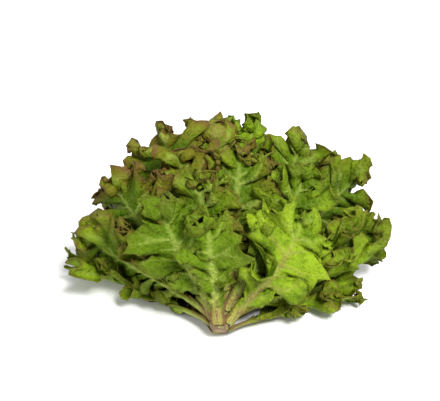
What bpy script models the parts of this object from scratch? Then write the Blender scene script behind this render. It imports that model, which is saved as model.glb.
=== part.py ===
"""A head of lollo rosso lettuce, cut at the stem and lying on its side.

The head is a short stem with loose leaves round it. Every leaf is a thin blade on a thick rib, with a
frilled edge that is much longer than the leaf is wide, so it buckles into waves.

The leaves nest. A point of a leaf is given by its layer (1 is the outermost leaf, 0 the heart), its azimuth
round the stem's axis and its reach, the distance from the point that the leaves fan out from. The layers
open like nested cones, and the floor presses the lower ones flat, so leaves of different layers stay clear
of each other however they wave.
"""

import math

import bpy
import numpy as np
from mathutils import Matrix

# Driving dimensions, in metres
STEM_RADIUS = 0.0066
STEM_TIP_RADIUS = 0.0036
STEM_LENGTH = 0.056
STEM_SIDES = 20
STEM_LEVELS = 6
CUT_HEIGHT = 0.0140  # centre of the cut face above the floor
FAN_BACK = 0.006  # the leaves fan out from a point this far outside the cut face
FIRST_FOOT = 0.003  # the outermost leaf leaves the stem this far above the cut
FEET_SPREAD = 0.046  # and the innermost this much further on
BLADE_THICKNESS = 0.0009
PRESSED_THICKNESS = 0.0007  # least height of a blade's upper face above the floor
RIB_DEPTH = 0.0026  # how much a rib adds to the blade at the leaf's foot
PETIOLE_HALF_WIDTH = 0.0046
STEM_GAP = 0.0003
FLOOR_SINK = 0.0022  # how far the lowest leaf would sink below the floor if it were not pressed flat
FULL_REACH = 0.178  # reach at which sag and bend are as given below
BEND_FROM = 0.073  # beyond this reach the leaves on top bend in
LEAST_ROUND = 0.012  # least radius round the axis that a blade is wrapped on

# Driving angles, in degrees
AXIS_TILT = 27.0  # the stem's axis rises from the floor by this much, away from the cut
SIDE_OPENING = 68.0  # widest angle between the axis and a leaf at the side
TOP_OPENING = 50.0  # and a leaf on top
HEART_OPENING = 7.0
FLOOR_BLEND = 14.0  # over this angle a leaf goes from open to lying on the floor
SIDE_SAG = 8.0  # how far a leaf at the side sinks round the axis at full reach
TOP_BEND = 20.0  # how far the end of a leaf on top bends in over the head

OPENING_LENGTH = 0.034  # a leaf swings out from the stem over about this length
OPENING_LENGTH_BELOW = 0.015  # and over this length where its weight bends it down to the floor
FLOOR_PRESS = 0.035  # waves that reach this near the floor, in layers, are pressed flat

AXIS = np.array([0.0, math.cos(math.radians(AXIS_TILT)), math.sin(math.radians(AXIS_TILT))])
SIDE = np.array([1.0, 0.0, 0.0])
RISE = np.cross(SIDE, AXIS)
CUT_CENTRE = np.array([0.0, 0.0, CUT_HEIGHT])
FAN_POINT = CUT_CENTRE - FAN_BACK * AXIS

# One row a leaf, from the outside in: name, azimuth in degrees (0 right, 90 up, 180 left, 270 down), how far
# its end turns towards higher azimuths, layer at the foot and at the end, length and half width in metres,
# flatness (0 wraps the cone, 1 is flat across) and depth of frill in layers
LEAVES = [
    ("outer_leaf_1", 249, 0, 1.03, 1.03, 0.120, 0.046, 0.0, 0.065),
    ("outer_leaf_2", 292, 0, 0.89, 0.89, 0.122, 0.046, 0.0, 0.052),
    ("outer_leaf_3", 337, 0, 1.00, 1.00, 0.142, 0.042, 0.0, 0.065),
    ("outer_leaf_4", 201, -8, 0.895, 0.895, 0.156, 0.042, 0.0, 0.065),
    ("outer_leaf_5", 98, 0, 0.97, 0.97, 0.098, 0.026, 0.3, 0.072),
    ("outer_leaf_6", 262, 0, 0.78, 0.78, 0.146, 0.054, 0.0, 0.065),
    ("outer_leaf_7", 355, 0, 0.83, 0.83, 0.152, 0.040, 0.0, 0.062),
    ("outer_leaf_8", 124, 0, 0.86, 0.86, 0.110, 0.032, 0.2, 0.065),
    ("outer_leaf_9", 36, 10, 0.93, 0.80, 0.118, 0.039, 0.2, 0.075),
    ("middle_leaf_1", 172, 0, 0.80, 0.80, 0.136, 0.044, 0.0, 0.072),
    ("middle_leaf_2", 212, 0, 0.68, 0.68, 0.150, 0.048, 0.0, 0.065),
    ("middle_leaf_3", 104, 0, 0.74, 0.74, 0.120, 0.030, 0.1, 0.065),
    ("middle_leaf_4", 150, 0, 0.66, 0.66, 0.142, 0.040, 0.0, 0.072),
    ("middle_leaf_5", 290, 0, 0.69, 0.68, 0.156, 0.048, 0.0, 0.055),
    ("middle_leaf_6", 336, 0, 0.615, 0.615, 0.156, 0.044, 0.0, 0.062),
    ("middle_leaf_7", 14, 0, 0.53, 0.53, 0.172, 0.036, 0.0, 0.062),
    ("middle_leaf_8", 182, 0, 0.545, 0.545, 0.148, 0.046, 0.0, 0.062),
    ("middle_leaf_9", 244, 0, 0.44, 0.44, 0.158, 0.050, 0.0, 0.058),
    ("middle_leaf_10", 80, 0, 0.60, 0.59, 0.138, 0.028, 0.1, 0.065),
    ("middle_leaf_11", 136, 0, 0.40, 0.39, 0.152, 0.040, 0.1, 0.060),
    ("middle_leaf_12", 121, 0, 0.52, 0.51, 0.134, 0.024, 0.1, 0.055),
    ("middle_leaf_13", 47, 0, 0.69, 0.68, 0.140, 0.024, 0.1, 0.058),
    ("middle_leaf_14", 6, 0, 0.73, 0.73, 0.156, 0.034, 0.0, 0.058),
    ("heart_leaf_1", 286, 0, 0.36, 0.36, 0.160, 0.044, 0.0, 0.065),
    ("heart_leaf_2", 36, 0, 0.37, 0.37, 0.152, 0.032, 0.1, 0.058),
    ("heart_leaf_3", 200, 0, 0.34, 0.32, 0.158, 0.042, 0.0, 0.058),
    ("heart_leaf_4", 106, 0, 0.32, 0.31, 0.148, 0.036, 0.1, 0.058),
    ("heart_leaf_5", 62, 0, 0.22, 0.22, 0.152, 0.028, 0.2, 0.052),
    ("heart_leaf_6", 240, 0, 0.22, 0.22, 0.150, 0.034, 0.0, 0.058),
    ("heart_leaf_7", 150, 0, 0.14, 0.12, 0.138, 0.028, 0.0, 0.052),
]

COLUMNS = 21  # stations along each side of a leaf, from its foot to its tip
ROWS = np.array([0.0, 0.42, 0.76, 1.0])  # stations from the rib to the edge
WAVE_LENGTH = 0.034  # of the frill, along the edge
SCALLOP = 0.10  # how deep the edge is scalloped, as a share of the distance from the blade's middle
BLADE_MIDDLE = 0.55  # share of the leaf's length where the blade's middle lies
SWAY = 0.005  # how far the waves lean along the edge, in metres
FRILL_FROM = 0.16  # share of the leaf's length where the frill starts
FRILL_GROWS_OVER = 0.30  # and over how much of the length it grows


def smooth_minimum(a, b, band):
    """The lower of a and b, rounded off where they are within band of each other."""
    blend = np.maximum(band - np.abs(a - b), 0.0) / band
    return np.minimum(a, b) - blend * blend * band / 4


def stem_radius(height):
    share = np.clip(height / STEM_LENGTH, 0.0, 1.0)
    return STEM_RADIUS + (STEM_TIP_RADIUS - STEM_RADIUS) * share**2


def foot(layer):
    """Angle from the axis and reach of the point where a leaf of this layer leaves the stem."""
    height = FIRST_FOOT + FEET_SPREAD * (1 - layer)
    out = stem_radius(height) + STEM_GAP + (BLADE_THICKNESS + RIB_DEPTH) / 2
    return np.arctan2(out, FAN_BACK + height), np.hypot(out, FAN_BACK + height)


def floor_limit(azimuth, reach):
    """Angle from the axis at which a leaf of this azimuth lies on the floor."""
    tilt = math.radians(AXIS_TILT)
    down = np.sin(azimuth) * math.cos(tilt)
    size = np.hypot(math.sin(tilt), down)
    height = FAN_POINT[2] + FLOOR_SINK
    return np.arctan2(down, math.sin(tilt)) + np.arccos(np.clip(-height / (reach * size), -1, 1))


def opening(layer, azimuth, reach):
    """Angle from the axis of the point with this layer, azimuth in radians and reach."""
    top, side = math.radians(TOP_OPENING), math.radians(SIDE_OPENING)
    free = top + (side - top) * np.cos(azimuth) ** 2
    limit = smooth_minimum(free, floor_limit(azimuth, reach), math.radians(FLOOR_BLEND))
    pressed = 1 - FLOOR_PRESS * np.logaddexp(0, (1 - layer) / FLOOR_PRESS)
    layer = layer + (pressed - layer) * np.clip(-2 * np.sin(azimuth), 0, 1)
    heart = math.radians(HEART_OPENING)
    start, start_reach = foot(np.clip(layer, 0.0, 1.0))
    below = np.clip(-np.sin(azimuth), 0, 1)
    over = OPENING_LENGTH + (OPENING_LENGTH_BELOW - OPENING_LENGTH) * below
    opened = 1 - np.exp(-np.maximum(reach - start_reach, 0) / over)
    bend = np.clip((reach - BEND_FROM) / (FULL_REACH - BEND_FROM), 0, 2) ** 2
    bent = math.radians(TOP_BEND) * bend * layer * np.clip(np.sin(azimuth), 0, 1)
    return start + (heart + (limit - heart) * layer - start) * opened - bent


def place(layer, azimuth, reach, widen=0.0):
    """The point with this layer, azimuth and reach, with widen radians added to its opening."""
    azimuth = azimuth - math.radians(SIDE_SAG) * (reach / FULL_REACH) ** 2 * np.cos(azimuth)
    angle = opening(layer, azimuth, reach) + widen
    around = np.cos(azimuth)[..., None] * SIDE + np.sin(azimuth)[..., None] * RISE
    ahead = np.cos(angle)[..., None] * AXIS + np.sin(angle)[..., None] * around
    return FAN_POINT + reach[..., None] * ahead


def outline(length, half_width):
    """Margin of the flat leaf at even steps: distance along the rib, distance from it, and length of edge."""
    turn = np.linspace(0, math.pi, 400)
    along = length * (1 - np.cos(turn)) / 2
    share = along / length
    swell = np.sin(turn) * share**1.9
    off = PETIOLE_HALF_WIDTH * (1 - share**5) + (half_width - PETIOLE_HALF_WIDTH) * swell / swell.max()
    edge = np.concatenate([[0], np.cumsum(np.hypot(np.diff(along), np.diff(off)))])
    even = np.linspace(0, edge[-1], COLUMNS)
    return np.interp(even, edge, along), np.interp(even, edge, off), even


def leaf_sheet(azimuth, sweep, layers, length, half_width, flatness, frill, seed):
    """Mid surface of a leaf: two sides of COLUMNS by ROWS points, which share the rib and the tip.

    The wave moves the edge through the layers, the scallop away from the blade's middle and the sway along
    itself.
    """
    draw = np.random.default_rng(seed)
    phase = draw.uniform(0, 2 * math.pi, 4)
    margin_along, margin_off, edge = outline(length, half_width)
    root = 0.97 * length * (edge / edge[-1]) ** 1.1
    start_reach = foot(layers[0])[1]
    sides = []
    for side in (1, -1):
        row = ROWS[None, :]
        along = root[:, None] + (margin_along - root)[:, None] * row**1.15
        place_on_edge = edge if side > 0 else 2 * edge[-1] - edge
        turn = 2 * math.pi * place_on_edge / WAVE_LENGTH
        # two slower waves make the ruffles uneven in spacing and in height
        wave = np.sin(turn + phase[0] + 0.9 * np.sin(turn / 3.3 + phase[1]))
        wave = wave * (0.8 + 0.2 * np.sin(turn / 2.1 + phase[2]))
        grown = np.clip((margin_along / length - FRILL_FROM) / FRILL_GROWS_OVER, 0, 1)[:, None]
        scallop = 1 + SCALLOP * np.cos(turn * 1.31 + phase[3])[:, None] * grown * row
        off = margin_off[:, None] * row * scallop
        past_middle = (margin_along - BLADE_MIDDLE * length)[:, None]
        along = along + (scallop - 1) * row * past_middle
        sway = SWAY * np.cos(turn + phase[0])[:, None] * grown * row**2
        along = along + sway * np.gradient(margin_along, edge)[:, None]
        off = np.maximum(off + sway * np.gradient(margin_off, edge)[:, None], 0)
        off[-1] = 0
        wobble = frill * wave[:, None] * grown * row**1.8
        reach = start_reach + along
        share = along / length
        layer = layers[0] + (layers[1] - layers[0]) * share
        middle = azimuth + sweep * share**2
        angle = opening(layer, middle, reach)
        out = reach * np.sin(angle)
        flat_turn = np.arctan2(off, out)
        where = middle + side * ((1 - flatness) * off / np.maximum(out, LEAST_ROUND) + flatness * flat_turn)
        widen = flatness * (np.arctan2(np.hypot(out, off), reach * np.cos(angle)) - angle)
        sides.append(place(layer + wobble, where, reach, widen))
    return sides


def sheet_mesh(name, sides, thickness):
    """A closed thin solid from the two sides of a leaf. thickness has the same shape as one side's grid."""
    columns, rows = sides[0].shape[:2]
    index = {}
    points = []
    depth = []
    for which, grid in enumerate(sides):
        for c in range(columns):
            for r in range(rows):
                if which == 1 and (r == 0 or c == columns - 1):
                    index[1, c, r] = index[0, c, r]
                    continue
                index[which, c, r] = len(points)
                points.append(grid[c, r])
                depth.append(thickness[c, r])
    points = np.array(points)
    depth = np.array(depth)
    triangles = []
    for which in (0, 1):
        for c in range(columns - 1):
            for r in range(rows - 1):
                a, b = index[which, c, r], index[which, c + 1, r]
                d, e = index[which, c, r + 1], index[which, c + 1, r + 1]
                other_way = (c + r) % 2 and c < columns - 2
                pair = [(a, b, e), (a, e, d)] if other_way else [(a, b, d), (b, e, d)]
                triangles += pair if which else [t[::-1] for t in pair]
    triangles = np.array(triangles)
    corner = points[triangles]
    face_normal = np.cross(corner[:, 1] - corner[:, 0], corner[:, 2] - corner[:, 0])
    normal = np.zeros_like(points)
    for k in range(3):
        np.add.at(normal, triangles[:, k], face_normal)
    normal /= np.linalg.norm(normal, axis=1)[:, None]
    inner = points + normal * (BLADE_THICKNESS / 2)
    outer = points - normal * (depth - BLADE_THICKNESS / 2)[:, None]
    outer[:, 2] = np.maximum(outer[:, 2], 0.0)
    inner[:, 2] = np.maximum(inner[:, 2], PRESSED_THICKNESS)
    count = len(points)
    rim = [index[0, 0, r] for r in range(rows - 1, 0, -1)]
    rim += [index[1, 0, r] for r in range(rows)]
    rim += [index[1, c, rows - 1] for c in range(1, columns)]
    rim += [index[0, c, rows - 1] for c in range(columns - 2, 0, -1)]
    faces = [tuple(t) for t in triangles]
    faces += [tuple(count + v for v in t[::-1]) for t in triangles]
    for a, b in zip(rim, rim[1:] + rim[:1]):
        faces += [(a, b, count + b), (a, count + b, count + a)]
    mesh = bpy.data.meshes.new(name)
    mesh.from_pydata(np.concatenate([inner, outer]).tolist(), [], faces)
    return mesh


def add_object(name, mesh, material):
    mesh.materials.append(material)
    piece = bpy.data.objects.new(name, mesh)
    bpy.context.scene.collection.objects.link(piece)
    return piece


def finish(name, colour, roughness):
    material = bpy.data.materials.new(name)
    material.use_nodes = True
    shader = material.node_tree.nodes["Principled BSDF"]
    shader.inputs["Base Color"].default_value = (*colour, 1.0)
    shader.inputs["Roughness"].default_value = roughness
    shader.inputs["Metallic"].default_value = 0.0
    return material


def add_leaf(row, seed, material):
    name, azimuth, sweep, foot_layer, end_layer, length, half_width, flatness, frill = row
    azimuth, sweep = math.radians(azimuth), math.radians(sweep)
    layers = (foot_layer, end_layer)
    sides = leaf_sheet(azimuth, sweep, layers, length, half_width, flatness, frill, seed)
    margin_along = outline(length, half_width)[0]
    rib = RIB_DEPTH * (1 - margin_along / length) ** 1.2
    thickness = BLADE_THICKNESS + rib[:, None] * (ROWS == 0)[None, :]
    return add_object(name, sheet_mesh(name, sides, thickness), material)


def add_stem(material):
    """The short solid stem: a cut face, and a taper into the heart."""
    points, faces = [], []
    for k in range(STEM_LEVELS + 1):
        height = STEM_LENGTH * k / STEM_LEVELS
        for j in range(STEM_SIDES):
            turn = 2 * math.pi * j / STEM_SIDES
            out = math.cos(turn) * SIDE + math.sin(turn) * RISE
            points.append(CUT_CENTRE + height * AXIS + stem_radius(height) * out)
    for k in range(STEM_LEVELS):
        for j in range(STEM_SIDES):
            a, b = k * STEM_SIDES + j, k * STEM_SIDES + (j + 1) % STEM_SIDES
            faces.append((a + STEM_SIDES, b + STEM_SIDES, b, a))
    faces.append(tuple(range(STEM_SIDES)))
    faces.append(tuple(range(STEM_LEVELS * STEM_SIDES, (STEM_LEVELS + 1) * STEM_SIDES))[::-1])
    mesh = bpy.data.meshes.new("stem")
    mesh.from_pydata([tuple(p) for p in points], [], faces)
    return add_object("stem", mesh, material)


def centre_on_floor(pieces):
    """Move the head so that the middle of its extent along X and Y is at the origin."""
    corners = np.array([v.co[:] for piece in pieces for v in piece.data.vertices])
    middle = (corners.min(axis=0) + corners.max(axis=0)) / 2
    for piece in pieces:
        piece.data.transform(Matrix.Translation((-middle[0], -middle[1], 0.0)))


for old in list(bpy.data.objects):
    bpy.data.objects.remove(old)

leaf_finishes = {
    "outer": finish("outer_leaf", (0.22, 0.42, 0.04), 0.45),
    "middle": finish("middle_leaf", (0.20, 0.24, 0.05), 0.45),
    "heart": finish("heart_leaf", (0.30, 0.46, 0.08), 0.45),
}
head = [add_stem(finish("stem", (0.42, 0.30, 0.20), 0.55))]
for seed, row in enumerate(LEAVES):
    head.append(add_leaf(row, seed, leaf_finishes[row[0].split("_")[0]]))
centre_on_floor(head)
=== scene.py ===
import math

import bpy
import numpy as np
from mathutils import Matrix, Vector


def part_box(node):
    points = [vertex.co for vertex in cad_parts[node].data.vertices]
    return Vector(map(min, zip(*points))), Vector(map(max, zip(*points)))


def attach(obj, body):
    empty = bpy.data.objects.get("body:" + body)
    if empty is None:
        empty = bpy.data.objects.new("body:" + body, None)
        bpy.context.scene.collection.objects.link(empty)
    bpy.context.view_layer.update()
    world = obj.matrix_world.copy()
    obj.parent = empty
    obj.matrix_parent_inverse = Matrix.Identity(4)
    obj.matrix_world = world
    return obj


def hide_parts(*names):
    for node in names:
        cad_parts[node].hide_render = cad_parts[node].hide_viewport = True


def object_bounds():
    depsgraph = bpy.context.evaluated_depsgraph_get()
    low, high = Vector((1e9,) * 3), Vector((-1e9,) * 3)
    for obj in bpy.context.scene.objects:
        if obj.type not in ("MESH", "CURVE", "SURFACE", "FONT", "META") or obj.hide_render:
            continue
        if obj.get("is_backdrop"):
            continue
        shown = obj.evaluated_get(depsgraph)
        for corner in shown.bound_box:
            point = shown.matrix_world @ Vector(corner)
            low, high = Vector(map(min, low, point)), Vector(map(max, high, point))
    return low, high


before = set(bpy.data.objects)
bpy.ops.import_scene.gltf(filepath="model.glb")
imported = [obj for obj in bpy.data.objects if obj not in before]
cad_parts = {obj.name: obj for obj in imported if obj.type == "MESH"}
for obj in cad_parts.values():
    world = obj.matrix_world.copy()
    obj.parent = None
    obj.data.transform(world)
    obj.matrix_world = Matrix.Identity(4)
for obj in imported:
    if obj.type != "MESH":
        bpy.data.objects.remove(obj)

cad_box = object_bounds()


# Stem
# The short solid base that every leaf grew from: pale inside, with a thin skin of old leaf scars. It was cut
# straight across when the head was picked, and the milky sap of the cut has dried brown.
STEM_RADIUS = 0.0066
STEM_TIP_RADIUS = 0.0036
STEM_LENGTH = 0.056
AXIS_TILT = math.radians(27.0)
STEM_SIDES = 72
STEM_LEVELS = 60
CUT_RINGS = 10
BUD_RINGS = 16
BUD_LENGTH = 0.009
RIM_SHARE = 0.985  # radius of the cut face's rim, as a share of the stem's
RIM_ROUND = 0.0005  # how far that rim is rounded back
SCARS_AROUND = 5
SCAR_TWIST = 900.0  # radians a metre, by which the scars wind up the stem
SCAR_DEPTH = 0.00035
BUD_RIDGE = 0.18  # depth of the bud's ridges, as a share of its radius
COLLAR = 0.0031  # how much further out the stem reaches where the leaves' feet meet it
COLLAR_FROM = 0.0008  # heights above the cut between which the collar swells
COLLAR_TO = 0.0085
STREAK_STRETCH = (9.0, 1.0, 2.0)
SKIN_RELIEF = 0.0004
CUT_FLESH = (0.24, 0.18, 0.07)
CUT_SAP = (0.13, 0.060, 0.028)
STEM_SKIN = (0.150, 0.080, 0.042)
STEM_GREEN = (0.19, 0.21, 0.045)
BUD_GREEN = (0.20, 0.30, 0.02)

stem_low, stem_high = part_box("stem")
AXIS = np.array([0.0, math.cos(AXIS_TILT), math.sin(AXIS_TILT)])
SIDE = np.array([1.0, 0.0, 0.0])
RISE = np.cross(SIDE, AXIS)
CUT_CENTRE = np.array([
    (stem_low.x + stem_high.x) / 2,
    stem_low.y + STEM_RADIUS * math.sin(AXIS_TILT),
    stem_low.z + STEM_RADIUS * math.cos(AXIS_TILT),
])


class Wire:
    """A socket of a node tree. Arithmetic on it adds Math nodes, and add() adds a node of any other kind."""

    def __init__(self, tree, socket=None):
        self.tree = tree
        self.socket = socket

    def add(self, kind, sockets=(), out=0, **settings):
        """Adds a node: first its settings, then a value or a wire for each of its sockets."""
        node = self.tree.nodes.new(kind)
        for name, value in settings.items():
            setattr(node, name, value)
        for key, value in dict(sockets).items():
            if isinstance(value, Wire):
                self.tree.links.new(value.socket, node.inputs[key])
            else:
                node.inputs[key].default_value = value
        return Wire(self.tree, node.outputs[out] if node.outputs else None)

    def maths(self, operation, *values):
        return self.add("ShaderNodeMath", enumerate(values), operation=operation)

    def __add__(self, other):
        return self.maths("ADD", self, other)

    __radd__ = __add__

    def __mul__(self, other):
        return self.maths("MULTIPLY", self, other)

    __rmul__ = __mul__

    def __sub__(self, other):
        return self.maths("SUBTRACT", self, other)

    def __rsub__(self, other):
        return self.maths("SUBTRACT", other, self)

    def __truediv__(self, other):
        return self.maths("DIVIDE", self, other)

    def __pow__(self, other):
        return self.maths("POWER", self, other)

    def attribute(self, name):
        return self.add("ShaderNodeAttribute", out="Fac", attribute_name=name)

    def ease(self, start, end):
        """0 where this is at start and 1 where it is at end, with a smooth way between."""
        sockets = {"Value": self, "From Min": start, "From Max": end}
        return self.add("ShaderNodeMapRange", sockets, interpolation_type="SMOOTHSTEP")

    def noise(self, place, scale, detail=2.0, roughness=0.5):
        sockets = {"Vector": place, "Scale": scale, "Detail": detail, "Roughness": roughness}
        return self.add("ShaderNodeTexNoise", sockets)

    def blend(self, share, first, second):
        """The first colour where share is 0 and the second where it is 1."""
        first, second = [c if isinstance(c, Wire) else (*c, 1.0) for c in (first, second)]
        return self.add("ShaderNodeMix", {0: share, 6: first, 7: second}, 2, data_type="RGBA")

    def bump(self, height, distance, normal=None):
        sockets = {"Height": height, "Distance": distance, "Strength": 1.0}
        if normal:
            sockets["Normal"] = normal
        return self.add("ShaderNodeBump", sockets)


def new_material(name):
    """An empty node material: returns it and a wire on its tree."""
    material = bpy.data.materials.new(name)
    material.use_nodes = True
    material.node_tree.nodes.clear()
    return material, Wire(material.node_tree)


def stem_radius(height):
    share = np.clip(height / STEM_LENGTH, 0.0, 1.0)
    return STEM_RADIUS + (STEM_TIP_RADIUS - STEM_RADIUS) * share**2


def mesh_with(name, points, faces, fields):
    """A smooth mesh with the named values at its points."""
    mesh = bpy.data.meshes.new(name)
    mesh.from_pydata(np.asarray(points).tolist(), [], faces)
    for field, values in fields.items():
        values = np.asarray(values, np.float32)
        kind, key = ("FLOAT_VECTOR", "vector") if values.ndim == 2 else ("FLOAT", "value")
        mesh.attributes.new(field, kind, "POINT").data.foreach_set(key, values.ravel())
    mesh.polygons.foreach_set("use_smooth", [True] * len(mesh.polygons))
    return mesh


def stem_mesh():
    """The turned stem: rings over the cut face, up the side with its collar, and over the ridged bud."""
    rings = []
    for k in range(1, CUT_RINGS + 1):
        out = k / CUT_RINGS
        rings.append((STEM_RADIUS * out * RIM_SHARE, RIM_ROUND * out**6, out, 0.0))
    for k in range(1, STEM_LEVELS + 1):
        height = STEM_LENGTH * k / STEM_LEVELS
        swell = min(max((height - COLLAR_FROM) / (COLLAR_TO - COLLAR_FROM), 0.0), 1.0)
        collar = COLLAR * swell * (2 - swell)
        rings.append((stem_radius(height) + collar, height, 2.0, SCAR_DEPTH))
    for k in range(1, BUD_RINGS):
        rise = k / BUD_RINGS
        radius = (STEM_TIP_RADIUS + COLLAR) * math.sqrt(1 - rise**2)
        depth = SCAR_DEPTH + BUD_RIDGE * radius * rise
        rings.append((radius, STEM_LENGTH + BUD_LENGTH * rise, 2.0 + rise, depth))
    turn = np.linspace(0, 2 * math.pi, STEM_SIDES, endpoint=False)
    around = np.cos(turn)[:, None] * SIDE + np.sin(turn)[:, None] * RISE
    points, cut_out = [CUT_CENTRE], [0.0]
    for radius, height, out, depth in rings:
        scar = depth * (np.sin(SCARS_AROUND * turn + height * SCAR_TWIST) - 1)
        points += list(CUT_CENTRE + height * AXIS + (radius + scar)[:, None] * around)
        cut_out += [out] * STEM_SIDES
    points.append(CUT_CENTRE + (STEM_LENGTH + BUD_LENGTH) * AXIS)
    cut_out.append(3.0)
    faces = []
    last = len(points) - 1
    for j in range(STEM_SIDES):
        n = (j + 1) % STEM_SIDES
        faces.append((0, 1 + j, 1 + n))
        for k in range(len(rings) - 1):
            a, b = 1 + k * STEM_SIDES + j, 1 + k * STEM_SIDES + n
            faces.append((a, a + STEM_SIDES, b + STEM_SIDES, b))
        top = 1 + (len(rings) - 1) * STEM_SIDES
        faces.append((top + j, last, top + n))
    return mesh_with("cut_stem", points, faces, {"cut_out": cut_out})


def stem_finish():
    """Pale flesh on the cut with rings of dried sap, and a streaked skin, greener further up."""
    material, wire = new_material("stem")
    place = wire.add("ShaderNodeTexCoord", out="Object")
    out = wire.attribute("cut_out")
    grain = wire.noise(place, 420.0, 4.0, 0.6)
    patch = wire.noise(place, 140.0, 3.0, 0.6)
    stretched = wire.add("ShaderNodeVectorMath", {0: place, 1: STREAK_STRETCH}, operation="MULTIPLY")
    streak = wire.noise(stretched, 90.0, 3.0, 0.6)
    ring = (out + (patch - 0.5) * 0.5).ease(0.45, 0.95)
    cut = wire.blend(ring * 0.9 + grain.ease(0.5, 0.75) * 0.2, CUT_FLESH, CUT_SAP)
    skin = wire.blend(streak.ease(0.4, 0.62), STEM_SKIN, STEM_GREEN)
    skin = wire.blend(patch.ease(0.52, 0.7) * 0.7, skin, CUT_SAP)
    colour = wire.blend(out.ease(1.0, 1.1), cut, skin)
    colour = wire.blend(out.ease(2.0, 2.3), colour, BUD_GREEN)
    bump = wire.bump(grain + streak, SKIN_RELIEF)
    sockets = {"Base Color": colour, "Roughness": 0.45 + patch * 0.3, "Normal": bump}
    shader = wire.add("ShaderNodeBsdfPrincipled", sockets)
    wire.add("ShaderNodeOutputMaterial", {"Surface": shader})
    return material


cut_stem = bpy.data.objects.new("cut_stem", stem_mesh())
bpy.context.scene.collection.objects.link(cut_stem)
cut_stem.data.materials.append(stem_finish())
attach(cut_stem, "root")
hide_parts("stem")


# Outer leaves
# The nine oldest leaves: a thick pale rib that flattens into a thin soft blade. Its edge grew far longer than
# the leaf is wide, and so buckles into ruffles, and the ruffles into crimps. They spring from the foot of the
# stem, and the lowest lie on the surface under the rest.
FAN_BACK = 0.006
FAN_POINT = CUT_CENTRE - FAN_BACK * AXIS  # the leaves fan out from here, outside the cut
FIRST_FOOT = 0.003  # the outermost leaf leaves the stem this far above the cut
FEET_SPREAD = 0.046  # and the innermost this much further on
BLADE_THICKNESS = 0.0007
CAD_THICKNESS = 0.0009  # of the plain solid's blade, which sets how far out its foot stands
RIB_DEPTH = 0.0026  # how much a rib adds to the blade at the leaf's foot
PETIOLE_HALF_WIDTH = 0.0046
STEM_GAP = 0.0003
FLOOR_SINK = 0.0022  # how far the lowest leaf would sink below the floor if it were not pressed flat
FULL_REACH = 0.178  # reach at which sag and bend are as given below
BEND_FROM = 0.073  # beyond this reach the leaves on top bend in
LEAST_ROUND = 0.012  # least radius round the axis that a blade is wrapped on
SIDE_OPENING = math.radians(68.0)  # widest angle between the axis and a leaf at the side
TOP_OPENING = math.radians(50.0)  # and a leaf on top
HEART_OPENING = math.radians(7.0)
FLOOR_BLEND = math.radians(14.0)  # over this angle a leaf goes from open to lying on the floor
SIDE_SAG = math.radians(8.0)  # how far a leaf at the side sinks round the axis at full reach
TOP_BEND = math.radians(20.0)  # how far the end of a leaf on top bends in over the head
OPENING_LENGTH = 0.034  # a leaf swings out from the stem over about this length
OPENING_LENGTH_BELOW = 0.015  # and over this length where its weight bends it down to the floor
FLOOR_PRESS = 0.035  # waves that reach this near the floor, in layers, are pressed flat
WAVE_LENGTH = 0.034  # of the leaf's main waves, along the edge
WAVE_DRIFT = 0.9  # how far those waves wander along the edge, in radians
WAVE_SWELL = 0.2  # and how much their height comes and goes
SCALLOP = 0.10  # how deep the edge is scalloped, as a share of the distance from the blade's middle
SCALLOPS_A_WAVE = 1.31
BLADE_MIDDLE = 0.55  # share of the leaf's length where the blade's middle lies
BLADE_BELLY = 1.9  # the higher, the nearer to its tip a leaf is widest
SWAY = 0.005  # how far the main waves lean along the edge
FRILL_FROM = 0.16  # share of the leaf's length where the frill starts
FRILL_GROWS_OVER = 0.30  # and over how much of the length it grows

OUTLINE_STEPS = 400
COLUMN_STEP = 0.00080  # of the mesh, along the edge of a leaf
WELD = 1e-6
ROWS = np.array([0.0, 0.03, 0.07, 0.13, 0.20, 0.28, 0.37, 0.46, 0.55, 0.63,
                 0.71, 0.78, 0.84, 0.89, 0.935, 0.97, 1.0])
COLUMN_ROOTS = 0.97  # how far up the rib those columns start, as a share of the leaf's length
VEIN_DRAW = 100  # picks how each leaf's veins are scattered
VEIN_SPACING = 0.016  # along the edge of a leaf
VEIN_SCATTER = 0.3  # how far a vein may stand from its even place, as a share of that spacing
FIRST_VEIN = 0.2  # where the first and the last vein point, in lengths of one side's edge
LAST_VEIN = 1.85
VEIN_WIDTH = 0.0013
VEIN_FORK_FROM = 0.45  # where a side vein forks, as a share of the blade's half width
VEIN_FORK = 0.008  # how far each branch would swing out over the whole half width
VEIN_FADE = 0.004  # a vein rises out of the rib's side over this length
RIB_WIDTH = 0.0066
RIB_TIP_WIDTH = 0.0009
RIB_SHOULDER = 2.6  # the higher, the flatter the rib's top and the steeper its sides
CLASP_WIDTH = 0.0030  # how much wider a leaf is at its foot, where it clasps the stem
CLASP_LENGTH = 0.012
FLOOR_BAND = 0.002  # how gradually the lowest frills flatten on the surface
TIP_RISE = 0.0050  # how far a frilled tip may stand above the plain leaves, past which it bends over
TIP_BAND = 0.006

LOBE_WIDTH = 0.012  # how far in from the edge the lobes, the corners and the teeth are felt
CORNER_WIDTH = 0.0075
TOOTH_WIDTH = 0.0030
LOBES_VARY_OVER = 0.03  # lengths of edge over which the lobes, the teeth and their twist change
TEETH_VARY_OVER = 0.011
TWIST_VARIES_OVER = 0.016
HEIGHT_CHANGES = 64.0  # how often the waves' height, and the spacing of teeth and waves, change in a metre
TEETH_CHANGES = 60.0
SPACING_CHANGES = 42.0
FOLDS = 36.0  # how many dents and how many blisters there are in a metre of blade
BLISTERS = 115.0
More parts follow.
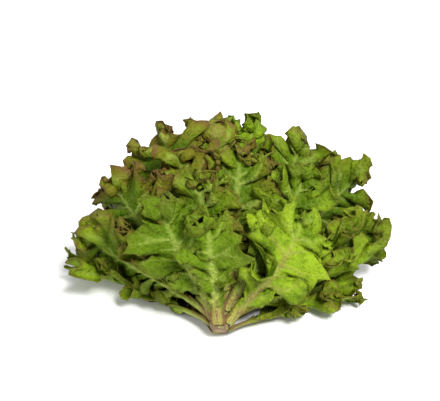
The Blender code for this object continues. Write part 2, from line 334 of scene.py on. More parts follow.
# Each kind of wave on the edge: how unevenly it is spaced, how far its folds hang over, its random pattern
EDGE_WAVES = {
    "Ruffle": (11.0, 0.60, 11.0),
    "Crimp": (13.0, 0.50, 23.0),
    "Crinkle": (15.0, 0.30, 31.0),
}
FRILL_SIZES = {
    "Ruffle Length": 0.026,
    "Ruffle Depth": 0.0095,
    "Ruffle Width": 0.018,
    "Crimp Length": 0.0100,
    "Crimp Depth": 0.0030,
    "Crimp Width": 0.0070,
    "Crinkle Length": 0.0048,
    "Crinkle Depth": 0.0013,
    "Crinkle Width": 0.0035,
    "Lobe Depth": 0.0050,
    "Corner Length": 0.0150,
    "Corner Depth": 0.0095,
    "Tooth Length": 0.0062,
    "Tooth Depth": 0.0045,
    "Curl": 0.002,
    "Curl Width": 0.018,
    "Fold Depth": 0.0035,
    "Blister Depth": 0.0009,
    "Blade Thickness": BLADE_THICKNESS,
    "Rib Depth": RIB_DEPTH,
    "Vein Depth": 0.0006,
    "Highest Tip": cad_box[1][2] + TIP_RISE,
}

BRIGHT_GREEN = (0.215, 0.325, 0.011)
DEEP_GREEN = (0.052, 0.110, 0.001)
BRONZE = (0.112, 0.098, 0.008)
EDGE_RED = (0.105, 0.060, 0.018)
PALE_RIB = (0.28, 0.35, 0.065)
ROSY_STALK = (0.19, 0.092, 0.046)
LIT_THROUGH = (0.42, 0.58, 0.010)
CLEARNESS = 0.16  # share of the light that comes through a green blade
LEAF_GLOSS = 0.05
PAINTED_SHADE_FROM_EDGE = (0.004, 0.024)  # distances from the edge between which the painted shade comes in
BRONZE_FROM_EDGE = (0.026, 0.001)
RED_FROM_EDGE = (0.0036, 0.0004)
STAIN_FROM_EDGE = (0.0026, 0.0008)
CLOUDS = 38.0  # how many spots each pattern of the blade has in a metre
MOTTLES = 160.0
NET_MESHES = 230.0
BLOTCHES = 330.0
SPECKS = 900.0
NET_RELIEF = 0.0006
MOTTLE_RELIEF = 0.0010

OUTER_DRAW = 80  # picks the random waves of the outer leaves' frills
LEAF_TONES = ("bronze", "blush", "brightness")  # the last three columns of the rows below

# One row a leaf: name, azimuth round the stem in degrees (0 right, 90 up, 270 down), how far its end turns,
# layer at the foot and at the end (1 outermost, 0 the heart), length, half width, flatness, depth of frill,
# how bronze its edge is, how far up its rib it is rosy, as a share of its length, and how bright its green is
OUTER_LEAVES = [
    ("outer_leaf_1", 249, 0, 1.03, 1.03, 0.120, 0.046, 0.0, 0.065, 0.50, 0.15, 0.5),
    ("outer_leaf_2", 292, 0, 0.89, 0.89, 0.122, 0.046, 0.0, 0.052, 0.15, 0.15, 0.5),
    ("outer_leaf_3", 337, 0, 1.00, 1.00, 0.142, 0.042, 0.0, 0.065, 0.35, 0.60, 1.0),
    ("outer_leaf_4", 201, -8, 0.895, 0.895, 0.156, 0.042, 0.0, 0.065, 0.25, 0.10, 0.9),
    ("outer_leaf_5", 98, 0, 0.97, 0.97, 0.098, 0.026, 0.3, 0.072, 0.10, 0.25, 0.25),
    ("outer_leaf_6", 262, 0, 0.78, 0.78, 0.146, 0.054, 0.0, 0.065, 0.25, 0.15, 0.5),
    ("outer_leaf_7", 355, 0, 0.83, 0.83, 0.152, 0.040, 0.0, 0.062, 0.22, 0.25, 0.9),
    ("outer_leaf_8", 124, 0, 0.86, 0.86, 0.110, 0.032, 0.2, 0.065, 0.14, 0.20, 0.1),
    ("outer_leaf_9", 36, 10, 0.93, 0.80, 0.118, 0.039, 0.2, 0.075, 0.05, 0.80, 1.0),
]


def smooth_minimum(a, b, band):
    """The lower of a and b, rounded off where they are within band of each other."""
    blend = np.maximum(band - np.abs(a - b), 0.0) / band
    return np.minimum(a, b) - blend * blend * band / 4


def foot(layer):
    """Angle from the axis and reach of the point where a leaf of this layer leaves the stem."""
    height = FIRST_FOOT + FEET_SPREAD * (1 - layer)
    out = stem_radius(height) + STEM_GAP + (CAD_THICKNESS + RIB_DEPTH) / 2
    return np.arctan2(out, FAN_BACK + height), np.hypot(out, FAN_BACK + height)


def floor_limit(azimuth, reach):
    """Angle from the axis at which a leaf of this azimuth lies on the floor."""
    down = np.sin(azimuth) * math.cos(AXIS_TILT)
    size = np.hypot(math.sin(AXIS_TILT), down)
    height = FAN_POINT[2] + FLOOR_SINK
    return np.arctan2(down, math.sin(AXIS_TILT)) + np.arccos(np.clip(-height / (reach * size), -1, 1))


def opening(layer, azimuth, reach):
    """Angle from the axis of the point with this layer, azimuth and reach."""
    free = TOP_OPENING + (SIDE_OPENING - TOP_OPENING) * np.cos(azimuth) ** 2
    limit = smooth_minimum(free, floor_limit(azimuth, reach), FLOOR_BLEND)
    pressed = 1 - FLOOR_PRESS * np.logaddexp(0, (1 - layer) / FLOOR_PRESS)
    layer = layer + (pressed - layer) * np.clip(-2 * np.sin(azimuth), 0, 1)
    start, start_reach = foot(np.clip(layer, 0.0, 1.0))
    below = np.clip(-np.sin(azimuth), 0, 1)
    over = OPENING_LENGTH + (OPENING_LENGTH_BELOW - OPENING_LENGTH) * below
    opened = 1 - np.exp(-np.maximum(reach - start_reach, 0) / over)
    bend = np.clip((reach - BEND_FROM) / (FULL_REACH - BEND_FROM), 0, 2) ** 2
    bent = TOP_BEND * bend * layer * np.clip(np.sin(azimuth), 0, 1)
    return start + (HEART_OPENING + (limit - HEART_OPENING) * layer - start) * opened - bent


def place_on_shell(layer, azimuth, reach, widen=0.0):
    """The point with this layer, azimuth and reach, with widen added to its opening."""
    azimuth = azimuth - SIDE_SAG * (reach / FULL_REACH) ** 2 * np.cos(azimuth)
    angle = opening(layer, azimuth, reach) + widen
    around = np.cos(azimuth)[..., None] * SIDE + np.sin(azimuth)[..., None] * RISE
    ahead = np.cos(angle)[..., None] * AXIS + np.sin(angle)[..., None] * around
    return FAN_POINT + reach[..., None] * ahead


def leaf_outline(length, half_width):
    """Margin of the flat leaf at even steps: distance along the rib, distance from it, and length of edge."""
    turn = np.linspace(0, math.pi, OUTLINE_STEPS)
    along = length * (1 - np.cos(turn)) / 2
    share = along / length
    swell = np.sin(turn) * share**BLADE_BELLY
    off = PETIOLE_HALF_WIDTH * (1 - share**5) + (half_width - PETIOLE_HALF_WIDTH) * swell / swell.max()
    edge = np.concatenate([[0], np.cumsum(np.hypot(np.diff(along), np.diff(off)))])
    even = np.linspace(0, edge[-1], round(edge[-1] / COLUMN_STEP))
    along, off = np.interp(even, edge, along), np.interp(even, edge, off)
    clasp = CLASP_WIDTH * np.exp(-((along / CLASP_LENGTH) ** 1.5)) * (even < edge[-1] / 2)
    return along, off + clasp, even


def unit(vectors):
    return vectors / np.maximum(np.linalg.norm(vectors, axis=-1, keepdims=True), 1e-9)


def leaf_side(side, azimuth, sweep, layers, size, flatness, frill, draw):
    """Half of a leaf's sheet, from the rib to one edge: its points and what is measured on them."""
    phase, veins = draw
    length, half_width = size
    margin_along, margin_off, edge = leaf_outline(length, half_width)
    root = COLUMN_ROOTS * length * (edge / edge[-1]) ** 1.1
    row = ROWS[None, :]
    along = root[:, None] + (margin_along - root)[:, None] * row**1.15
    run = edge if side > 0 else 2 * edge[-1] - edge
    turn = 2 * math.pi * run / WAVE_LENGTH
    wave = np.sin(turn + phase[0] + WAVE_DRIFT * np.sin(turn / 3.3 + phase[1]))
    wave = wave * (1 - WAVE_SWELL + WAVE_SWELL * np.sin(turn / 2.1 + phase[2]))
    grown = np.clip((margin_along / length - FRILL_FROM) / FRILL_GROWS_OVER, 0, 1)[:, None]
    scallop = 1 + SCALLOP * np.cos(turn * SCALLOPS_A_WAVE + phase[3])[:, None] * grown * row
    off = margin_off[:, None] * row * scallop
    past_middle = (margin_along - BLADE_MIDDLE * length)[:, None]
    along = along + (scallop - 1) * row * past_middle
    sway = SWAY * np.cos(turn + phase[0])[:, None] * grown * row**2
    along = along + sway * np.gradient(margin_along, edge)[:, None]
    off = np.maximum(off + sway * np.gradient(margin_off, edge)[:, None], 0)
    off[-1] = 0
    wobble = frill * wave[:, None] * grown * row**1.8
    reach = foot(layers[0])[1] + along
    share = along / length
    layer = layers[0] + (layers[1] - layers[0]) * share
    middle = azimuth + sweep * share**2
    angle = opening(layer, middle, reach)
    out = reach * np.sin(angle)
    flat_turn = np.arctan2(off, out)
    where = middle + side * ((1 - flatness) * off / np.maximum(out, LEAST_ROUND) + flatness * flat_turn)
    widen = flatness * (np.arctan2(np.hypot(out, off), reach * np.cos(angle)) - angle)
    points = place_on_shell(layer + wobble, where, reach, widen)

    step = np.linalg.norm(np.diff(points, axis=1), axis=2)
    zero = np.zeros((len(edge), 1))
    rib_gap = np.concatenate([zero, np.cumsum(step, axis=1)], axis=1)
    edge_gap = rib_gap[:, -1:] - rib_gap
    fork = np.clip(row - VEIN_FORK_FROM, 0, 1) * VEIN_FORK
    away = np.abs(run[:, None, None] - veins[None, None, :]) - fork[..., None]
    vein = np.exp(-((np.abs(away).min(axis=2) / (VEIN_WIDTH * (1.25 - row))) ** 2))
    rib_width = RIB_TIP_WIDTH + (RIB_WIDTH - RIB_TIP_WIDTH) * np.clip(1 - share, 0, 1) ** 0.8
    fields = {
        "edge_run": np.broadcast_to(run[:, None], edge_gap.shape),
        "edge_gap": edge_gap,
        "frill_share": grown * np.clip(row / 0.4, 0, 1) ** 1.5,
        "rib": np.exp(-((rib_gap / rib_width) ** RIB_SHOULDER)) * np.clip(1.1 - share, 0, 1) ** 0.7,
        "vein": vein * (1 - 0.8 * row) * np.clip(rib_gap / VEIN_FADE, 0, 1),
        "share": share,
        "edge_way": unit(np.gradient(points, axis=0)) * side,
        "outward": unit(np.gradient(points, axis=1)),
    }
    return points, fields


def leaf_sheet(row, seed):
    """The sheet of one leaf, facing the heart, with the values that its frill and its colours follow."""
    name, azimuth, sweep, first, last, length, half_width, flatness, frill, *tones = row
    phase = np.random.default_rng(seed).uniform(0, 2 * math.pi, 4)
    scatter = np.random.default_rng(VEIN_DRAW + seed)
    edge = leaf_outline(length, half_width)[2][-1]
    veins = np.arange(FIRST_VEIN * edge, LAST_VEIN * edge, VEIN_SPACING)
    veins = veins + scatter.uniform(-VEIN_SCATTER, VEIN_SCATTER, len(veins)) * VEIN_SPACING
    sides = [
        leaf_side(side, math.radians(azimuth), math.radians(sweep), (first, last), (length, half_width),
                  flatness, frill, (phase, veins))
        for side in (1, -1)
    ]
    columns, rows = sides[0][0].shape[:2]
    index = np.zeros((2, columns, rows), int)
    index[0] = np.arange(columns * rows).reshape(columns, rows)
    fresh = np.zeros((columns, rows), bool)
    fresh[:-1, 1:] = True
    index[1] = index[0]
    index[1][fresh] = columns * rows + np.arange(fresh.sum())
    points = np.concatenate([sides[0][0].reshape(-1, 3), sides[1][0][fresh]])
    fields = {tone: np.full(len(points), value) for tone, value in zip(LEAF_TONES, tones)}
    for field, values in sides[0][1].items():
        other = sides[1][1][field][fresh]
        fields[field] = np.concatenate([values.reshape(columns * rows, *values.shape[2:]), other])
    faces = []
    for which in (0, 1):
        corner = index[which]
        quads = np.stack([corner[:-1, :-1], corner[1:, :-1], corner[1:, 1:], corner[:-1, 1:]], axis=-1)
        quads = quads.reshape(-1, 4)
        faces += (quads if which else quads[:, ::-1]).tolist()
    return mesh_with(name + "_sheet", points, faces, fields)


def frilled_leaf_tree():
    """The rule that turns a sheet into a leaf: ruffles, crimps and teeth along its edge, and blisters in it,
    then a closed blade with the rib and the veins raised on its outer side."""
    tree = bpy.data.node_groups.new("frilled leaf", "GeometryNodeTree")
    tree.interface.new_socket("Sheet", in_out="INPUT", socket_type="NodeSocketGeometry")
    for name, size in FRILL_SIZES.items():
        tree.interface.new_socket(name, in_out="INPUT", socket_type="NodeSocketFloat").default_value = size
    tree.interface.new_socket("Seed", in_out="INPUT", socket_type="NodeSocketFloat")
    tree.interface.new_socket("Material", in_out="INPUT", socket_type="NodeSocketMaterial")
    tree.interface.new_socket("Leaf", in_out="OUTPUT", socket_type="NodeSocketGeometry")
    given = tree.nodes.new("NodeGroupInput")
    wire = Wire(tree)

    def size(name):
        return Wire(tree, given.outputs[name])

    def field(name, kind="FLOAT"):
        return wire.add("GeometryNodeInputNamedAttribute", {"Name": name}, data_type=kind)

    def scaled(vector, amount):
        return wire.add("ShaderNodeVectorMath", {0: vector, 3: amount}, operation="SCALE")

    def both(first, second):
        return wire.add("ShaderNodeVectorMath", {0: first, 1: second}, operation="ADD")

    def wander(value, scale, shift):
        sockets = {"W": value + (size("Seed") * 7.31 + shift), "Scale": scale, "Detail": 1.0}
        return wire.add("ShaderNodeTexNoise", sockets, noise_dimensions="1D")

    def moved(leaf, offset):
        return wire.add("GeometryNodeSetPosition", {"Geometry": leaf, "Offset": offset})

    run = field("edge_run")
    gap = field("edge_gap")
    share = field("frill_share")
    edge_way = field("edge_way", "FLOAT_VECTOR")
    outward = field("outward", "FLOAT_VECTOR")
    normal = wire.add("GeometryNodeInputNormal")
    position = wire.add("GeometryNodeInputPosition")

    def swing(length, jitter, shift):
        """The angle in the waves of this length that a point is at, with the waves unevenly spaced."""
        spot = wire.add("ShaderNodeCombineXYZ", {0: run, 1: gap * 0.25, 2: size("Seed") * 3.17 + shift})
        return run * (2 * math.pi) / size(length) + wire.noise(spot, SPACING_CHANGES, 1.0) * jitter

    def waves(leaf, turn, depth, width, lean, shift):
        """Buckles the edge across the blade, and along it twice as fast, so that the folds hang over."""
        height = wander(run, HEIGHT_CHANGES, shift + 3.7).ease(0.25, 0.7) * 0.9 + 0.45
        reach = wire.maths("EXPONENT", gap / size(width) * -1.0)
        amount = size(depth) * height * share * reach
        across = scaled(normal, amount * wire.maths("SINE", turn))
        over = scaled(edge_way, amount * wire.maths("SINE", turn * 2.0) * -lean)
        return moved(leaf, both(across, over))

    def teeth(length, shift):
        """Pointed teeth with concave sides, unevenly spaced and of uneven height."""
        beat = wire.maths("FRACT", run / size(length) + wander(run, TEETH_CHANGES, shift) * 4.0)
        point = (1.0 - wire.maths("ABSOLUTE", beat - 0.5) * 2.0) ** 1.8
        return point * (wander(run, 1.0 / TEETH_VARY_OVER, shift + 30.0).ease(0.3, 0.65) + 0.25)

    # Soft dents in the blade, none on the rib
    leaf = size("Sheet")
    off_rib = 1.0 - field("rib")
    dent = (wire.noise(position, FOLDS, 1.5) - 0.5) * 2.0
    leaf = moved(leaf, scaled(normal, dent * off_rib * size("Fold Depth") * field("share").ease(0.1, 0.5)))

    # Lobes, one for each half of a ruffle, and the curl of the edge
    turns = {kind: swing(kind + " Length", jitter, shift) for kind, (jitter, _, shift) in EDGE_WAVES.items()}
    lobes = wire.maths("ABSOLUTE", wire.maths("SINE", turns["Ruffle"])) ** 0.6 - 0.62
    lobes = lobes * (wander(run, 1.0 / LOBES_VARY_OVER, 57.0).ease(0.25, 0.7) + 0.35)
    wide = wire.maths("EXPONENT", gap / -LOBE_WIDTH)
    bent = wire.maths("EXPONENT", (gap / size("Curl Width")) ** 1.5 * -1.0) * share
    lobe_shift = scaled(outward, size("Lobe Depth") * lobes * wide * share - size("Curl") * bent * 0.6)
    leaf = moved(leaf, both(lobe_shift, scaled(normal, size("Curl") * bent * -1.0)))

    # Ruffles, crimps on the ruffles, and crinkles on the crimps
    for kind, (_, lean, shift) in EDGE_WAVES.items():
        leaf = waves(leaf, turns[kind], kind + " Depth", kind + " Width", lean, shift)

    # Corners, and on them the teeth of the fringe, which twist out of the blade
    corner = teeth("Corner Length", 47.0)
    reach = wire.maths("EXPONENT", gap / -CORNER_WIDTH) * size("Corner Depth") * share
    leaf = moved(leaf, scaled(outward, (corner - 0.35) * reach))
    tooth = teeth("Tooth Length", 41.0)
    fringe = wire.maths("EXPONENT", gap / -TOOTH_WIDTH) * size("Tooth Depth") * share
    leaf = moved(leaf, scaled(outward, (tooth - 0.35) * fringe))
    twist = wander(run, 1.0 / TWIST_VARIES_OVER, 77.0) - 0.5
    leaf = moved(leaf, scaled(normal, tooth * twist * 3.0 * fringe))

    # Blisters, none on the rib
    blister = (wire.noise(position, BLISTERS, 2.0) - 0.5) * 2.0
    leaf = moved(leaf, scaled(normal, blister * off_rib * size("Blister Depth")))

    # The lowest frills flatten on the surface, and the highest tips bend over
    height = wire.add("ShaderNodeSeparateXYZ", {0: position}, "Z")
    lifted = wire.maths("SMOOTH_MAX", height, size("Blade Thickness") * 1.3, FLOOR_BAND)
    bent_over = wire.maths("SMOOTH_MIN", lifted, size("Highest Tip"), TIP_BAND)
    leaf = moved(leaf, wire.add("ShaderNodeCombineXYZ", {"Z": bent_over - height}))

    # The closed blade, thickest on its rib and raised along its veins
    to_tip = wire.maths("MAXIMUM", 1.0 - field("share"), 0.0)
    relief = size("Rib Depth") * field("rib") * to_tip + size("Vein Depth") * field("vein")
    thick = (size("Blade Thickness") + relief) * -1.0
    back = wire.add("GeometryNodeExtrudeMesh", {"Mesh": leaf, "Offset Scale": thick, "Individual": False})
    front = wire.add("GeometryNodeFlipFaces", {"Mesh": leaf})
    shell = tree.nodes.new("GeometryNodeJoinGeometry")
    for half in (back, front):
        tree.links.new(half.socket, shell.inputs[0])
    shell = Wire(tree, shell.outputs[0])
    shell = wire.add("GeometryNodeMergeByDistance", {"Geometry": shell, "Distance": WELD})
    shell = wire.add("GeometryNodeFlipFaces", {"Mesh": shell})
    sunk = wire.maths("MAXIMUM", wire.add("ShaderNodeSeparateXYZ", {0: position}, "Z") * -1.0, 0.0)
    shell = moved(shell, wire.add("ShaderNodeCombineXYZ", {"Z": sunk}))
    shell = wire.add("GeometryNodeSetShadeSmooth", {"Geometry": shell})
    shell = wire.add("GeometryNodeRealizeInstances", {"Geometry": shell})
    shell = wire.add("GeometryNodeSetMaterial", {"Geometry": shell, "Material": size("Material")})
    ends = tree.nodes.new("NodeGroupOutput")
    tree.links.new(shell.socket, ends.inputs["Leaf"])
    return tree


def leaf_finish(name, dark, bright, painted_shade_depth=0.0):
    """Green blade that goes bronze and then red towards its edge, with pale ribs that blush at the foot.
    The higher the last argument is, the more painted shade darkens the blade away from its edge."""
    material, wire = new_material(name)
    place = wire.add("ShaderNodeTexCoord", out="Object")
    gap = wire.attribute("edge_gap")
    rib, vein, share = wire.attribute("rib"), wire.attribute("vein"), wire.attribute("share")
    tint = wire.attribute("bronze")
    cloud = wire.noise(place, CLOUDS, 3.0, 0.6)
    mottle = wire.noise(place, MOTTLES, 4.0, 0.65)
    speck = wire.noise(place, SPECKS, 3.0, 0.6)
    net = wire.add("ShaderNodeTexVoronoi", {"Vector": place, "Scale": NET_MESHES}, feature="DISTANCE_TO_EDGE")
    thread = 1.0 - net.ease(0.0, 0.12)

    patch = (cloud * 0.60 + mottle * 0.28 + speck * 0.12).ease(0.38, 0.60) * wire.attribute("brightness")
    # Painted shade: away from the edge the blade is darkened towards the dark green, standing in for the
    # shade in the crown's hollows
    painted_shade_mask = gap.ease(*PAINTED_SHADE_FROM_EDGE) * painted_shade_depth
    green = wire.blend((patch + speck.ease(0.5, 0.65) * 0.18) * (1.0 - painted_shade_mask), dark, bright)
    green = wire.blend(thread * 0.2, green, PALE_RIB)
    edge = (gap + (mottle - 0.5) * 0.040 + (cloud - 0.5) * 0.030).ease(*BRONZE_FROM_EDGE)
    blotch = wire.noise(place, BLOTCHES, 3.0, 0.7).ease(0.36, 0.58)
    green = wire.blend(wire.maths("MINIMUM", edge * tint * (blotch * 0.9 + 0.55), 0.92), green, BRONZE)
    rim = (gap + (mottle - 0.5) * 0.008 + (speck - 0.5) * 0.004).ease(*RED_FROM_EDGE)
    green = wire.blend(rim * wire.maths("MINIMUM", tint * 1.3 + 0.12, 0.9), green, EDGE_RED)
    stalk = (share - wire.attribute("blush") + (mottle - 0.5) * 0.2).ease(0.08, -0.12)
    grain = wire.add("ShaderNodeCombineXYZ", {0: share * 5.0, 1: gap * 700.0, 2: tint * 9.0})
    streak = wire.noise(grain, 1.0, 3.0, 0.6).ease(0.40, 0.60)
    blushed = stalk * (streak * 0.75 + 0.22) + speck.ease(0.5, 0.62) * 0.25
    stem_tone = wire.blend(blushed, PALE_RIB, ROSY_STALK)
    line = wire.maths("MINIMUM", rib * 0.95 + vein * 0.65, 1.0)
    colour = wire.blend(line, green, stem_tone)
    colour = wire.blend(share.ease(0.14, 0.03) * 0.8, colour, stem_tone)
    stain = (gap + (mottle - 0.5) * 0.002).ease(*STAIN_FROM_EDGE) * share.ease(0.24, 0.10)
    colour = wire.blend(stain * 0.75, colour, EDGE_RED)

    relief = wire.bump(net.ease(0.0, 0.4), NET_RELIEF)
    relief = wire.bump(mottle + speck * 0.5, MOTTLE_RELIEF, relief)
    sockets = {"Base Color": colour, "Roughness": 0.36 + mottle * 0.22, "Normal": relief}
    sockets["Specular IOR Level"] = LEAF_GLOSS
    shader = wire.add("ShaderNodeBsdfPrincipled", sockets)
    through = wire.add("ShaderNodeBsdfTranslucent", {"Color": (*LIT_THROUGH, 1.0)})
    clear = (1.0 - line) * CLEARNESS * (1.0 - edge * tint * 0.7)
    mixed = wire.add("ShaderNodeMixShader", {0: clear, 1: shader, 2: through})
    wire.add("ShaderNodeOutputMaterial", {"Surface": mixed})
    return material


def set_sizes(modifier, tree, **sizes):
    """Sets a modifier's inputs, found by name and set by the identifiers of their sockets."""
    for item in tree.interface.items_tree:
        if item.in_out == "INPUT" and item.name in sizes:
            modifier[item.identifier] = sizes[item.name]


def grow_leaf(row, seed, draw, finish, slot, **sizes):
    """Makes the leaf of this row and puts it in the place of its plain solid."""
    name = row[0]
    leaf = bpy.data.objects.new("frilled_" + name, leaf_sheet(row, seed))
    bpy.context.scene.collection.objects.link(leaf)
    frill = leaf.modifiers.new("frill", "NODES")
    frill.node_group = FRILLED_LEAF
    set_sizes(frill, FRILLED_LEAF, Seed=float(draw + seed), Material=finish, **sizes)
    grown = leaf.evaluated_get(bpy.context.evaluated_depsgraph_get())
    mesh = bpy.data.meshes.new_from_object(grown)
    leaf.modifiers.remove(frill)
    leaf.data = mesh
    mesh.name = leaf.name
    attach(leaf, "root")
    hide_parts(name)


FRILLED_LEAF = frilled_leaf_tree()
outer_finish = leaf_finish("outer_leaf", DEEP_GREEN, BRIGHT_GREEN)
for seed, row in enumerate(OUTER_LEAVES):
    grow_leaf(row, seed, OUTER_DRAW, outer_finish, "outer_leaf")


# Middle leaves
# The fourteen leaves inside those, which fill most of the crown. They are thin blades on a rib like the outer
# ones, with closer ruffles, and their edges turned bronze where the light reached them.
MIDDLE_LEAVES = [
    ("middle_leaf_1", 172, 0, 0.80, 0.80, 0.136, 0.044, 0.0, 0.072, 0.45, 0.10, 0.8),
    ("middle_leaf_2", 212, 0, 0.68, 0.68, 0.150, 0.048, 0.0, 0.065, 0.60, 0.15, 0.5),
    ("middle_leaf_3", 104, 0, 0.74, 0.74, 0.120, 0.030, 0.1, 0.065, 0.30, 0.15, 0.6),
    ("middle_leaf_4", 150, 0, 0.66, 0.66, 0.142, 0.040, 0.0, 0.072, 0.95, 0.15, 0.6),
    ("middle_leaf_5", 290, 0, 0.69, 0.68, 0.156, 0.048, 0.0, 0.055, 0.30, 0.15, 0.5),
    ("middle_leaf_6", 336, 0, 0.615, 0.615, 0.156, 0.044, 0.0, 0.062, 0.45, 0.15, 0.7),
    ("middle_leaf_7", 14, 0, 0.53, 0.53, 0.172, 0.036, 0.0, 0.062, 0.30, 0.15, 0.7),
    ("middle_leaf_8", 182, 0, 0.545, 0.545, 0.148, 0.046, 0.0, 0.062, 0.90, 0.15, 0.5),
    ("middle_leaf_9", 244, 0, 0.44, 0.44, 0.158, 0.050, 0.0, 0.058, 0.60, 0.15, 0.5),
    ("middle_leaf_10", 80, 0, 0.60, 0.59, 0.138, 0.028, 0.1, 0.065, 0.50, 0.15, 0.6),
    ("middle_leaf_11", 136, 0, 0.40, 0.39, 0.152, 0.040, 0.1, 0.060, 0.95, 0.15, 0.5),
    ("middle_leaf_12", 121, 0, 0.52, 0.51, 0.134, 0.024, 0.1, 0.055, 1.00, 0.15, 0.5),
    ("middle_leaf_13", 47, 0, 0.69, 0.68, 0.140, 0.024, 0.1, 0.058, 0.08, 0.15, 0.8),
    ("middle_leaf_14", 6, 0, 0.73, 0.73, 0.156, 0.034, 0.0, 0.058, 0.24, 0.15, 1.0),
]
FIRST_MIDDLE_SEED = len(OUTER_LEAVES)
MIDDLE_DRAW = 64
MIDDLE_GREEN = (0.185, 0.285, 0.008)
SHADED_GREEN = (0.036, 0.080, 0.001)
CROWN_PAINTED_SHADE = 0.7  # how much painted shade darkens these blades away from their edges
CROWN_FRILL = {
    "Ruffle Length": 0.0140,
    "Ruffle Depth": 0.0085,
    "Ruffle Width": 0.022,
    "Crimp Length": 0.0070,
    "Crimp Depth": 0.0048,
    "Crimp Width": 0.0100,
    "Crinkle Length": 0.0038,
    "Crinkle Depth": 0.0021,
    "Crinkle Width": 0.0070,
    "Lobe Depth": 0.0045,
    "Corner Length": 0.0090,
    "Corner Depth": 0.0052,
    "Tooth Length": 0.0042,
    "Tooth Depth": 0.0038,
}

# The middle leaves' blades carry painted shade: away from their edges they are darkened towards SHADED_GREEN
middle_finish = leaf_finish("middle_leaf", SHADED_GREEN, MIDDLE_GREEN, CROWN_PAINTED_SHADE)
for number, row in enumerate(MIDDLE_LEAVES):
    grow_leaf(row, FIRST_MIDDLE_SEED + number, MIDDLE_DRAW, middle_finish, "middle_leaf", **CROWN_FRILL)


# Heart leaves
# The seven youngest leaves, last to leave the stem. They stand closest to its axis, stay pale and soft at the
# foot, and only their frilled ends reach the light.
HEART_LEAVES = [
    ("heart_leaf_1", 286, 0, 0.36, 0.36, 0.160, 0.044, 0.0, 0.065, 0.35, 0.15, 0.5),
    ("heart_leaf_2", 36, 0, 0.37, 0.37, 0.152, 0.032, 0.1, 0.058, 0.30, 0.15, 0.7),
    ("heart_leaf_3", 200, 0, 0.34, 0.32, 0.158, 0.042, 0.0, 0.058, 0.85, 0.15, 0.5),
    ("heart_leaf_4", 106, 0, 0.32, 0.31, 0.148, 0.036, 0.1, 0.058, 1.00, 0.15, 0.5),
    ("heart_leaf_5", 62, 0, 0.22, 0.22, 0.152, 0.028, 0.2, 0.052, 0.10, 0.15, 1.0),
    ("heart_leaf_6", 240, 0, 0.22, 0.22, 0.150, 0.034, 0.0, 0.058, 0.50, 0.15, 0.5),
    ("heart_leaf_7", 150, 0, 0.14, 0.12, 0.138, 0.028, 0.0, 0.052, 0.60, 0.15, 0.5),
]
FIRST_HEART_SEED = FIRST_MIDDLE_SEED + len(MIDDLE_LEAVES)
HEART_DRAW = 80
HEART_BRIGHT = (0.175, 0.275, 0.008)
HEART_DEEP = (0.060, 0.12, 0.002)

# The heart leaves carry the same painted shade: away from their edges their blades are darkened towards
# HEART_DEEP
heart_finish = leaf_finish("heart_leaf", HEART_DEEP, HEART_BRIGHT, CROWN_PAINTED_SHADE)
for number, row in enumerate(HEART_LEAVES):
    grow_leaf(row, FIRST_HEART_SEED + number, HEART_DRAW, heart_finish, "heart_leaf", **CROWN_FRILL)


# Surface, light and camera
# A plain pale sheet under the head, whose cut stem points to the front. The main light stands above and in
# front on the right, a weaker one on the left and another behind. The camera looks down from the front.
FLOOR_SIZE = 6.0
FLOOR_TONE = (0.80, 0.80, 0.79)
FLOOR_FLECK = (0.70, 0.70, 0.69)
FLOOR_DROP = 0.0003
VIEW_ELEVATION = math.radians(38.0)
VIEW_AZIMUTH = math.radians(3.0)  # how far the camera stands to the right of the stem's line
LENS = 85.0
SENSOR = 36.0
VIEW_WIDTH = 0.383  # metres across the picture at the cut of the stem
CUT_TO_MIDDLE = (0.0004, 0.1136)  # from the cut to the middle of the picture, to the right and up
HEAD_MIDDLE = (0.0, 0.0, 0.06)
DAYLIGHT = 0.48  # strength of the white light from all round


def floor_finish():
    material, wire = new_material("pale_floor")
    place = wire.add("ShaderNodeTexCoord", out="Object")
    tooth = wire.noise(place, 240.0, 3.0)
    colour = wire.blend(tooth * 0.04, FLOOR_TONE, FLOOR_FLECK)
    shader = wire.add("ShaderNodeBsdfPrincipled", {"Base Color": colour, "Roughness": 0.85})
    wire.add("ShaderNodeOutputMaterial", {"Surface": shader})
    return material


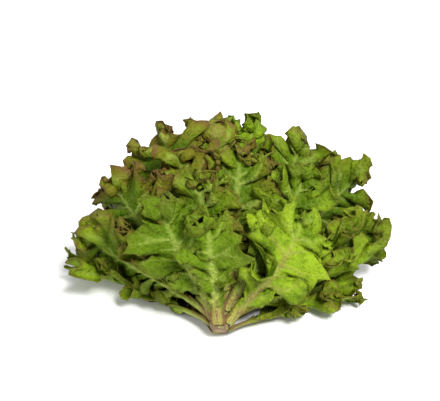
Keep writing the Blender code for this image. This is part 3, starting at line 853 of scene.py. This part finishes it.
half = FLOOR_SIZE / 2
floor_corners = [(-half, -half, -FLOOR_DROP), (half, -half, -FLOOR_DROP),
                 (half, half, -FLOOR_DROP), (-half, half, -FLOOR_DROP)]
floor = bpy.data.objects.new("floor", mesh_with("floor", floor_corners, [(0, 1, 2, 3)], {}))
bpy.context.scene.collection.objects.link(floor)
floor.data.materials.append(floor_finish())
floor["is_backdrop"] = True


def soft_light(name, place, aim, width, power):
    """A square light at place that shines at aim."""
    lamp = bpy.data.lights.new(name, "AREA")
    lamp.size = width
    lamp.energy = power
    holder = bpy.data.objects.new(name, lamp)
    holder.location = place
    holder.rotation_euler = (Vector(aim) - Vector(place)).to_track_quat("-Z", "Y").to_euler()
    bpy.context.scene.collection.objects.link(holder)


soft_light("key", (0.55, -0.75, 1.5), HEAD_MIDDLE, 0.5, 54.0)
soft_light("fill", (-1.3, -0.8, 0.9), HEAD_MIDDLE, 1.0, 11.0)
soft_light("rear", (0.2, 1.2, 1.3), HEAD_MIDDLE, 1.0, 14.0)

world = bpy.data.worlds.new("studio")
world.use_nodes = True
background = world.node_tree.nodes["Background"]
background.inputs["Color"].default_value = (1.0, 1.0, 1.0, 1.0)
background.inputs["Strength"].default_value = DAYLIGHT
bpy.context.scene.world = world

view_right = Vector((math.cos(VIEW_AZIMUTH), math.sin(VIEW_AZIMUTH), 0.0))
level = math.cos(VIEW_ELEVATION)
height = math.sin(VIEW_ELEVATION)
view_back = Vector((math.sin(VIEW_AZIMUTH) * level, -math.cos(VIEW_AZIMUTH) * level, height))
view_up = view_back.cross(view_right)
target = Vector(CUT_CENTRE) + CUT_TO_MIDDLE[0] * view_right + CUT_TO_MIDDLE[1] * view_up
camera = bpy.data.objects.new("camera", bpy.data.cameras.new("camera"))
camera.data.lens = LENS
camera.data.sensor_width = SENSOR
camera.location = target + view_back * (VIEW_WIDTH * LENS / SENSOR)
camera.rotation_euler = (target - camera.location).to_track_quat("-Z", "Y").to_euler()
bpy.context.scene.collection.objects.link(camera)
bpy.context.scene.camera = camera
bpy.context.scene.view_settings.view_transform = "Standard"

boxes = {"cad": cad_box, "visual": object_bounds()}
{name: [list(corner) for corner in box] for name, box in boxes.items()}
